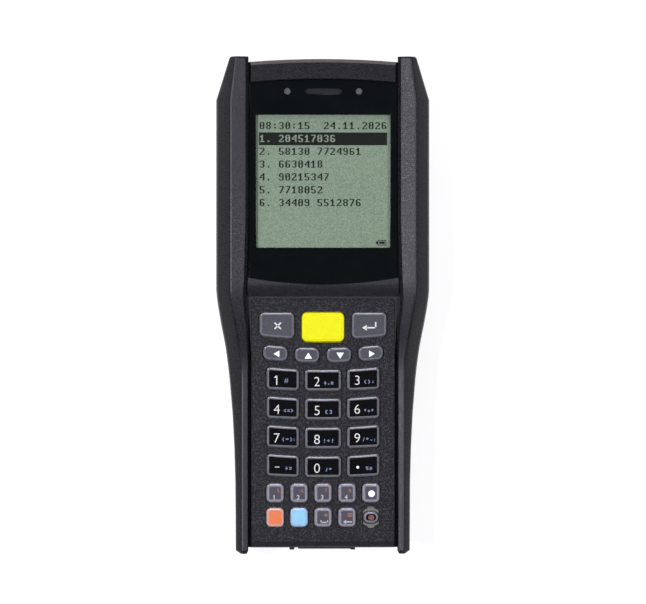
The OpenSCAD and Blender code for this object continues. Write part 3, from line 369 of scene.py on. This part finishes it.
def paint(piece, material, test):
    """Give the faces that pass a test another material."""
    piece.data.materials.append(material)
    only(piece)
    edit()
    pick("faces", test)
    piece.active_material_index = len(piece.data.materials) - 1
    bpy.ops.object.material_slot_assign()
    bpy.ops.object.mode_set(mode="OBJECT")


# %% [markdown]
# ## Rails and brow
# The narrow flat along each rail's crest gets a smoother ABS whose colour is a little lighter: the lighter
# colour is a painted highlight for the thin line of light that shows there. The far upper edge of the brow
# is painted a light grey, a painted highlight for the line of light along that edge. Either could be a strip
# of its own, but a second material on faces that are already there leaves no seam, so those faces are
# picked by the way they lean.

# %% Rails and brow
# Painted highlight: a lighter colour than the rail's ABS, and smoother, so the crest flat shows a line of
# light.
crest_highlight_abs = moulded("ABS burnished by handling", "#1d1c21", mottle=0.3, relief=0.0, rough=(0.2, 0.3),
                        sheen=0.058)
FLAT_LEAST, FLAT_MOST = 0.1, 0.6    # how far its normal leans outward
CREASE = 22                         # degrees; the flat turns only this far from the slopes beside it


def on_crest(face, side):
    """Whether a face of a rail lies on the flat of its crest. Side is -1 on the left and 1 on the right."""
    lean = side * face.normal.x
    return face.normal.z > 0 and FLAT_LEAST < lean < FLAT_MOST and abs(face.normal.y) < FLAT_LEAST


for rail, side in (("left_side_rail", -1), ("right_side_rail", 1)):
    skinned = skin(rail, rail_abs, 0.15, smooth=CREASE)
    paint(skinned, crest_highlight_abs, lambda f: on_crest(f, side))
brow = skin("brow_panel", brow_abs, 0.5)
# Painted highlight: a light grey on the brow's far upper edge, for the line of light along it.
brow_edge_highlight = plain("ABS scuffed by wear", "#47433f", 0.5, 0.2, 0.0, (0.5, 0.6), Specular_IOR_Level=0.15)
SLANTED = 0.2                       # the brow's far upper edge faces both up and away by this at least
paint(brow, brow_edge_highlight, lambda f: f.normal.y > SLANTED and f.normal.z > SLANTED)

# %% [markdown]
# ## The other casings
# Each gets the radius in mm that its moulding would have: small where two covers meet, larger on the
# battery pack. The two lips that guard the power key stand above the keypad plate and are printed over.
# The print is a material on the faces that lie high enough, so it ends where the lips do.

# %% The other casings
skin("front_cover", cover_abs, 0.15)
skin("back_cover", cover_abs, 0.2)
keypad = skin("keypad_plate", keypad_abs, 0.12)
skin("battery_lid", cover_abs, 0.2, joined=False)
skin("battery_latch", rail_abs, 0.15)
skin("scan_bezel", inner_nylon, 0.2)
skin("cradle_connector", inner_nylon, 0.15, joined=False)
skin("battery_pack", battery_polycarbonate, 0.4)

guard_print = plain("olive-grey screen print", "#585850", 0.5, 0.25, 0.0, (0.4, 0.55), Specular_IOR_Level=0.2)
GUARD_H = 0.5 * MM
GUARD_EDGE = 0.05 * MM      # the print starts this far above the plate
guard_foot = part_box("keypad_plate")[1].z - GUARD_H + GUARD_EDGE
paint(keypad, guard_print, lambda f: f.calc_center_median().z > guard_foot)

# %% [markdown]
# ## Finishes for the pieces that stay as drawn
# Seals, screws, contacts and the works inside have the right shape already and only need a material.

# %% Finishes
FINISHES = {
    seal_silicone: ("case_seal", "window_gasket", "lid_seal"),
    mat_silicone: ("keypad_mat",),
    zinc_steel: ("housing_screws", "lid_hinge_pin"),
    nickel_steel: ("wireless_module", "backup_cell"),
    blackened_steel: ("speaker_mesh",),
    gold_plate: ("key_contacts", "battery_contacts", "cradle_contacts"),
    solder_resist: ("main_board",),
    inner_nylon: ("speaker", "scan_engine"),
    tray_polycarbonate: ("lcd_frame",),
    light_pipe: ("status_lights",),
    red_acrylic: ("scan_window",),
}
for material, nodes in FINISHES.items():
    for node in nodes:
        NODES[node].data.materials.clear()
        NODES[node].data.materials.append(material)
print("finished", sum(len(nodes) for nodes in FINISHES.values()), "nodes")

# %% [markdown]
# ## The window
# One hard-coated acrylic pane, painted black on its back round a clear rectangle. It is modelled as
# the black frame and the clear pane in it, flush, because a solid can't be clear and black at once.
# The clear part is a film that lets most light through, so that the display below it is lit.

# %% Window
black_acrylic = plain("black-backed acrylic", "#060909", 5.0, 0.05, 0.0, (0.06, 0.1), IOR=1.49)
clear_acrylic, shader = new_material("clear hard-coated acrylic", Roughness=0.04, IOR=1.49, Alpha=0.1)
shader.inputs["Base Color"].default_value = colour("#20241f")

LCD_SIDE = 0.9 * MM         # the panel reaches this far behind the black border
PANE_EDGE = 0.1 * MM        # the pane's ground edges
PANE_SHARP = math.radians(50)
lcd_low, lcd_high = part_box("lcd_glass")
window_low, window_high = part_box("display_window")
view_low = Vector((lcd_low.x + LCD_SIDE, lcd_low.y + LCD_SIDE, window_low.z))
view_high = Vector((lcd_high.x - LCD_SIDE, lcd_high.y - LCD_SIDE, window_high.z))


def cube_between(low, high, name):
    """A cube from one corner to the other."""
    bpy.ops.mesh.primitive_cube_add(size=1, location=(low + high) / 2, scale=high - low)
    return done(bpy.context.object, name, smooth=0)


border = skin("display_window", black_acrylic, 0)
past = Vector((0, 0, 1 * MM))       # the cutter reaches this far past the pane, above and below
cutter = cube_between(view_low - past, view_high + past, "view_cutter")
apply_modifier(border, "BOOLEAN", operation="DIFFERENCE", object=cutter, solver="EXACT")
bpy.data.objects.remove(cutter)
apply_modifier(border, "BEVEL", width=PANE_EDGE, segments=2, limit_method="ANGLE", angle_limit=PANE_SHARP)

pane = cube_between(view_low, view_high, "window_pane")
pane.data.materials.append(clear_acrylic)
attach(pane, "root")
print("view", [round(v / MM, 1) for v in view_high - view_low], "mm")

# %% [markdown]
# ## The display
# A reflective liquid crystal: grey-green where it is off, nearly black where a dot is on. The dots are
# a real grid, 160 by 160, from which the unlit faces are deleted, as a designer would paint squares.
# It shows a plain list of numbers, drawn in a typewriter face nine dots high. A grid of real squares
# was chosen over a painted picture, because it stays sharp however near one looks.

# %% Display
lcd_off = plain("reflective liquid crystal, off", "#7a8c75", 0.4, 0.2, 0.0, (0.3, 0.4),
                Specular_IOR_Level=0.3)
lcd_on = plain("reflective liquid crystal, on", "#0c100b", 0.5, 0.15, 0.0, (0.35, 0.45),
               Specular_IOR_Level=0.1)
NODES["lcd_glass"].data.materials.clear()
NODES["lcd_glass"].data.materials.append(lcd_off)

DIGIT_ROWS = """
.XXXX. ..XX.. .XXXX. .XXXX. ....XX XXXXXX .XXXX. XXXXXX .XXXX. .XXXX.
XX..XX .XXX.. XX..XX XX..XX ...XXX XX.... XX..XX ....XX XX..XX XX..XX
XX..XX XXXX.. ....XX ....XX ..XXXX XX.... XX.... ....XX XX..XX XX..XX
XX.XXX ..XX.. ....XX ....XX .XX.XX XX.... XX.... ...XX. XX..XX XX..XX
XXX.XX ..XX.. ...XX. ..XXX. XX..XX XXXXX. XXXXX. ...XX. .XXXX. .XXXXX
XX..XX ..XX.. ..XX.. ....XX XXXXXX ....XX XX..XX ..XX.. XX..XX ....XX
XX..XX ..XX.. .XX... ....XX ....XX ....XX XX..XX ..XX.. XX..XX ....XX
XX..XX ..XX.. XX...X XX..XX ....XX XX..XX XX..XX .XX... XX..XX XX..XX
.XXXX. XXXXXX XXXXXX .XXXX. ....XX .XXXX. .XXXX. .XX... .XXXX. .XXXX.
""".split("\n")[1:-1]
STOP_ROWS = ["......"] * 7 + ["..XX.."] * 2
COLON_ROWS = ["......"] * 2 + ["..XX.."] * 2 + ["......"] * 2 + ["..XX.."] * 2 + ["......"]
BATTERY_ROWS = ["..XXXXXXXXXXX", "..X.........X", "XXX.XXXXXXX.X", "XXX.XXXXXXX.X", "XXX.XXXXXXX.X",
                "..X.........X", "..XXXXXXXXXXX"]
LINES = ["08:30:15  24.11.2026", "1. 204517036", "2. 58130 7724961", "3. 6630418", "4. 90215347",
         "5. 7718052", "6. 34409 5512876"]
BAR_LINE = 1                # this line is shown inverted
DOTS = 160                  # dots along each side
DOT = 0.271 * MM            # from one dot to the next
DOTS_ABOVE = 0.01 * MM      # the dots lie this far above the panel
CELL_X, CELL_Y = 8, 16      # dots per character
TEXT_TOP = 3                # blank dots above the first line
DIGIT_DROP = 3              # blank dots above a digit in its cell
BATTERY_IN, BATTERY_UP = 14, 7      # dots from the display's lower right corner to the battery sign


def glyph(character):
    """The dot rows of one character."""
    if character.isdigit():
        return [row.split()[int(character)] for row in DIGIT_ROWS]
    return {".": STOP_ROWS, ":": COLON_ROWS}.get(character, ["......"] * 9)


lit = set()
for number, text in enumerate(LINES):
    top = TEXT_TOP + number * CELL_Y
    if number == BAR_LINE:
        lit |= {(x, top + y) for x in range(DOTS) for y in range(CELL_Y)}
    for place, character in enumerate(text):
        for y, row in enumerate(glyph(character)):
            for x, mark in enumerate(row):
                if mark == "X":
                    lit ^= {(place * CELL_X + x + 1, top + DIGIT_DROP + y)}
for y, row in enumerate(BATTERY_ROWS):
    lit |= {(DOTS - BATTERY_IN + x, DOTS - BATTERY_UP + y) for x, mark in enumerate(row) if mark == "X"}

screen = Vector(((view_low.x + view_high.x) / 2, (view_low.y + view_high.y) / 2, lcd_high.z + DOTS_ABOVE))
bpy.ops.mesh.primitive_grid_add(x_subdivisions=DOTS, y_subdivisions=DOTS, size=DOTS * DOT, location=screen)
dots = bpy.context.object
edit()
half = DOTS * DOT / 2


def dark_dot(face):
    """Whether a square of the grid is a dot that is off. Dots count from the left and from the top."""
    middle = face.calc_center_median()
    return (int((middle.x + half) / DOT), int((half - middle.y) / DOT)) not in lit


pick("faces", dark_dot)
bpy.ops.mesh.delete(type="FACE")
done(dots, "display_dots", smooth=0)
dots.data.materials.append(lcd_on)
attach(dots, "root")
print(len(dots.data.polygons), "dots are on")

# %% [markdown]
# ## Key caps
# Each key is a translucent silicone cap with a printed face set inside its rim, so the light comes
# through round the print. The cap is a skin of its CAD node. The face starts as the flat top of that
# same cap, is drawn in by an inset and raised a tenth of a millimetre, with a small chamfer round it.

# %% Key finishes
CLEAR = {"Subsurface_Weight": 0.25, "Subsurface_Scale": 0.6 * MM, "Coat_Weight": 0.4}
rim_silicone = plain("translucent silicone", "#56565b", 0.8, 0.05, 0.0, (0.25, 0.35), **CLEAR)
peach_silicone = plain("translucent orange silicone", "#b08d86", 0.8, 0.05, 0.0, (0.25, 0.35), **CLEAR)
sky_silicone = plain("translucent blue silicone", "#8aa2bb", 0.8, 0.05, 0.0, (0.25, 0.35), **CLEAR)
black_print = plain("black screen print", "#08080a", 0.5, 0.1, 0.0, (0.12, 0.2), Specular_IOR_Level=0.2)
grey_print = plain("grey screen print", "#37373e", 0.35, 0.14, 0.0, (0.3, 0.4), Specular_IOR_Level=0.25)
yellow_silicone = plain("yellow silicone", "#c8c503", 1.0, 0.03, 0.0, (0.35, 0.45), Subsurface_Weight=0.1,
                        Subsurface_Scale=MM, Specular_IOR_Level=0.12)
orange_silicone = plain("orange silicone", "#bf6433", 1.0, 0.03, 0.0, (0.35, 0.45), Specular_IOR_Level=0.3)
blue_silicone = plain("blue silicone", "#74a8c0", 1.0, 0.03, 0.0, (0.35, 0.45), Specular_IOR_Level=0.3)
white_ink = plain("white ink", "#dfe2e2", 0.5, 0.03, 0.0, (0.4, 0.5))
ivory_ink = plain("ivory ink", "#bdbdb6", 0.5, 0.03, 0.0, (0.4, 0.5))
grey_ink = plain("light grey ink", "#9b9ba2", 0.5, 0.03, 0.0, (0.4, 0.5))
blue_ink = plain("blue ink", "#586584", 0.5, 0.05, 0.0, (0.4, 0.5))
orange_ink = plain("orange ink", "#7c4634", 0.5, 0.05, 0.0, (0.4, 0.5))
brown_ink = plain("brown ink", "#563222", 0.5, 0.15, 0.0, (0.3, 0.4))
smoked_silicone = plain("smoked silicone", "#66606a", 0.8, 0.05, 0.0, (0.25, 0.35), **CLEAR)
pale_silicone = plain("pale translucent silicone", "#75727b", 0.8, 0.05, 0.0, (0.25, 0.35), **CLEAR)

FACE_FINISH = {"key_scan": yellow_silicone, "key_orange": orange_silicone, "key_blue": blue_silicone}
RIM_FINISH = {"key_scan": yellow_silicone, "key_orange": peach_silicone, "key_blue": sky_silicone,
              "key_power": smoked_silicone}
DIGIT_KEYS = ["key_%d" % n for n in range(10)] + ["key_minus", "key_dot"]
SMALL_KEYS = ["key_f1", "key_f2", "key_f3", "key_f4", "key_backlight", "key_space", "key_backspace"]
GREY_KEYS = ["key_escape", "key_enter", "key_left", "key_up", "key_down", "key_right"] + SMALL_KEYS
for node in DIGIT_KEYS + ["key_power"]:
    FACE_FINISH[node] = black_print
for node in GREY_KEYS:
    FACE_FINISH[node] = grey_print
for node in SMALL_KEYS:
    RIM_FINISH[node] = pale_silicone

# %% Key caps
FACE_INSET = 0.3 * MM
SMALL_INSET = 0.48 * MM     # the small keys show more of their rim
FACE_PROUD = 0.12 * MM      # the height of the face's side
CHAMFER_IN, CHAMFER_UP = 0.08 * MM, 0.04 * MM
TOP_SKIN = 0.01 * MM        # a face of the cap that lies within this of its height is its top


def ring(piece, margin, oval):
    """Draw a smaller face inside the selected one, with a ring of faces between the two.

    Near the ends of an oval an inset would cross itself, so there the new face is scaled instead.
    """
    if not oval:
        bpy.ops.mesh.inset(thickness=margin)
        return
    bpy.ops.mesh.extrude_region_move()
    places = [corner.co for corner in bmesh.from_edit_mesh(piece.data).verts if corner.select]
    low, high = [Vector([end(place[axis] for place in places) for axis in range(3)]) for end in (min, max)]
    size = high - low
    bpy.ops.transform.resize(value=(1 - 2 * margin / size.x, 1 - 2 * margin / size.y, 1),
                             center_override=(low + high) / 2)


def key_face(node, material):
    """The printed face of a key, from the flat top of its cap."""
    oval = node == "key_power"
    piece = welded(node, node + "_face")
    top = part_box(node)[1].z
    pick("faces", lambda f: f.calc_center_median().z < top - TOP_SKIN)
    bpy.ops.mesh.delete(type="FACE")
    bpy.ops.mesh.select_all(action="SELECT")
    ring(piece, SMALL_INSET if node in SMALL_KEYS else FACE_INSET, oval)
    bpy.ops.mesh.select_all(action="INVERT")
    bpy.ops.mesh.delete(type="FACE")
    bpy.ops.mesh.select_all(action="SELECT")
    bpy.ops.mesh.extrude_region_move(TRANSFORM_OT_translate={"value": (0, 0, FACE_PROUD)})
    ring(piece, CHAMFER_IN, oval)
    bpy.ops.transform.translate(value=(0, 0, CHAMFER_UP))
    done(piece, node + "_face", smooth=50)
    flatten(piece)
    piece.data.materials.clear()
    piece.data.materials.append(material)
    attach(piece, BODY[node])


for node, material in FACE_FINISH.items():
    cap = skin(node, RIM_FINISH.get(node, rim_silicone), 0, smooth=CREASE)
    key_face(node, material)
print("keys", len(FACE_FINISH))

# %% [markdown]
# ## Legends
# Ink is thin but it is real: each legend is a solid a few hundredths of a millimetre thick that lies
# on its face. Digits are Blender's own sans serif, its strokes thinned a little, turned into a mesh and
# set to the height a ruler gives. All places below are in mm from the middle of the key.

# %% Digits
INK = 0.03 * MM
FACE_TOP = FACE_PROUD + CHAMFER_UP + INK / 2    # middle of the ink above the cap


def on_key(node, dx, dy):
    """The place on a key's face that lies so far, in mm, from its middle."""
    low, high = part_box(node)
    return Vector(((low.x + high.x) / 2 + dx * MM, (low.y + high.y) / 2 + dy * MM, high.z + FACE_TOP))


def print_on(piece, node, name, material):
    """Finish a printed legend and let it ride with its key."""
    done(piece, node + "_" + name, smooth=0)
    piece.data.materials.clear()
    piece.data.materials.append(material)
    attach(piece, BODY[node])


def letter(node, name, text, height, dx, dy, material, bold=0.0, width=None):
    """Digits or signs of a given height, and width if they are to be squeezed, on a key."""
    bpy.ops.object.text_add()
    piece = bpy.context.object
    piece.data.body = text
    piece.data.offset = bold
    piece.data.extrude = 0.001      # any thickness will do: it is scaled to the ink's below
    only(piece)
    bpy.ops.object.convert(target="MESH")
    piece = bpy.context.object
    low, high = Vector(piece.bound_box[0]), Vector(piece.bound_box[6])      # opposite corners
    size, middle = high - low, (high + low) / 2
    tall = height * MM / size.y
    wide = width * MM / size.x if width else tall
    piece.scale = (wide, tall, INK / size.z)
    piece.location = on_key(node, dx, dy) - Vector((middle.x * wide, middle.y * tall, 0))
    print_on(piece, node, name, material)


DIGIT_HEIGHT, DIGIT_X, DIGIT_Y = 3.1, -2.05, -0.45
DIGIT_THIN = -0.012         # the typeface's strokes are drawn in by this share of its size
for number in range(10):
    letter("key_%d" % number, "digit", str(number), DIGIT_HEIGHT, DIGIT_X, DIGIT_Y, ivory_ink, DIGIT_THIN)
print("digits done")

# %% [markdown]
# ## Signs
# The other legends are signs that anyone may use: triangles for the arrow keys, a cross to go back, a
# bent arrow to enter. A sign is put together from flat bars, triangles and discs and joined. The
# second function of each digit key is a small group of plain punctuation in blue.

# %% Signs
ROOT3 = math.sqrt(3)


def stroke(node, kind, x, y, w, h, turn=0):
    """One flat bar, triangle or disc of a sign: its middle, width and height in mm, turned in degrees."""
    place, angle = on_key(node, x, y), math.radians(turn)
    if kind == "bar":
        bpy.ops.mesh.primitive_cube_add(size=1, location=place, rotation=(0, 0, angle),
                                        scale=(w * MM, h * MM, INK))
    elif kind == "disc":
        bpy.ops.mesh.primitive_cylinder_add(vertices=20, radius=0.5, depth=1, location=place,
                                            scale=(w * MM, h * MM, INK))
    else:
        # A circle of three points stands on its flat side; its middle is a sixth of its height too high.
        up = Vector((-math.sin(angle), math.cos(angle), 0)) * h * MM / 6
        bpy.ops.mesh.primitive_cylinder_add(vertices=3, radius=1, depth=1, location=place - up,
                                            rotation=(0, 0, angle), scale=(w * MM / ROOT3, h * MM / 1.5, INK))
    return bpy.context.object


def sign(node, name, material, *strokes):
    """A sign on a key, joined from its strokes."""
    parts = [stroke(node, *values) for values in strokes]
    bpy.ops.object.select_all(action="DESELECT")
    for part in parts:
        part.select_set(True)
    bpy.context.view_layer.objects.active = parts[0]
    if len(parts) > 1:
        bpy.ops.object.join()
    print_on(parts[0], node, name, material)


for node, turn in (("key_up", 0), ("key_left", 90), ("key_down", 180), ("key_right", 270)):
    wide, tall = (2.5, 2.0) if turn % 180 == 0 else (2.2, 1.9)
    sign(node, "sign", white_ink, ("arrow", 0.4, -0.25, wide, tall, turn))
sign("key_escape", "sign", ivory_ink, ("bar", 0.3, -0.1, 3.0, 0.45, 45), ("bar", 0.3, -0.1, 0.45, 3.0, 45))
sign("key_enter", "sign", ivory_ink, ("bar", 0.6, -0.75, 3.6, 0.45), ("bar", 2.2, 0.1, 0.45, 2.1),
     ("arrow", -1.6, -0.75, 1.9, 1.6, 90))
# The typeface's 1 is a bare bar, so it gets the flag that tells it from a letter.
sign("key_1", "flag", ivory_ink, ("bar", DIGIT_X - 0.35, 0.78, 0.36, 1.0, -48))
sign("key_f1", "flag", grey_ink, ("bar", -0.46, -0.93, 0.2, 0.45, -48))
sign("key_backlight", "sign", white_ink, ("disc", 0.2, -0.25, 2.25, 2.25))
sign("key_minus", "sign", grey_ink, ("bar", -1.9, -0.5, 1.5, 0.34))
sign("key_dot", "sign", white_ink, ("disc", -1.9, -0.6, 0.9, 0.9))
sign("key_space", "sign", grey_ink, ("bar", 0.4, -1.7, 2.6, 0.4), ("bar", -0.7, -1.4, 0.4, 0.9),
     ("bar", 1.5, -1.4, 0.4, 0.9))
sign("key_backspace", "sign", grey_ink, ("bar", 0.6, -1.5, 2.2, 0.4), ("arrow", -0.8, -1.5, 1.4, 1.1, 90))
sign("key_power", "sign", brown_ink, ("disc", 0.1, -0.1, 2.1, 1.8))

SECOND = {"key_2": "+ - =", "key_3": "( ) ;", "key_4": "< = >", "key_5": "[ ]", "key_6": "* + *",
          "key_7": "{ = } :", "key_8": "! + ?", "key_9": "/ * - :", "key_0": "/ *", "key_dot": "% #",
          "key_minus": "+ =", "key_1": "#"}
SIGN_WIDE = 1.05            # each sign of a group is squeezed to this width
BOLD = 0.03                 # the strokes of small print are thickened by this share of its size
for node, text in SECOND.items():
    if node == "key_1":
        letter(node, "second", text, 1.6, 1.2, -0.6, blue_ink)
    else:
        signs = len(text.replace(" ", ""))
        letter(node, "second", text, 1.3, 1.9, -0.95, blue_ink, BOLD, SIGN_WIDE * signs)
ORANGE_X, ORANGE_Y, SMALL = 1.0, 0.8, 1.25
for number in range(1, 5):
    node = "key_f%d" % number
    letter(node, "digit", str(number), 1.5, -0.3, -1.4, grey_ink, 0.02)
    letter(node, "second", str(number + 4), SMALL, ORANGE_X, ORANGE_Y, orange_ink, BOLD)
for node, text in (("key_space", "+"), ("key_backspace", "=")):
    letter(node, "second", text, SMALL, ORANGE_X, ORANGE_Y, orange_ink, BOLD, 1.6)
print("signs done")
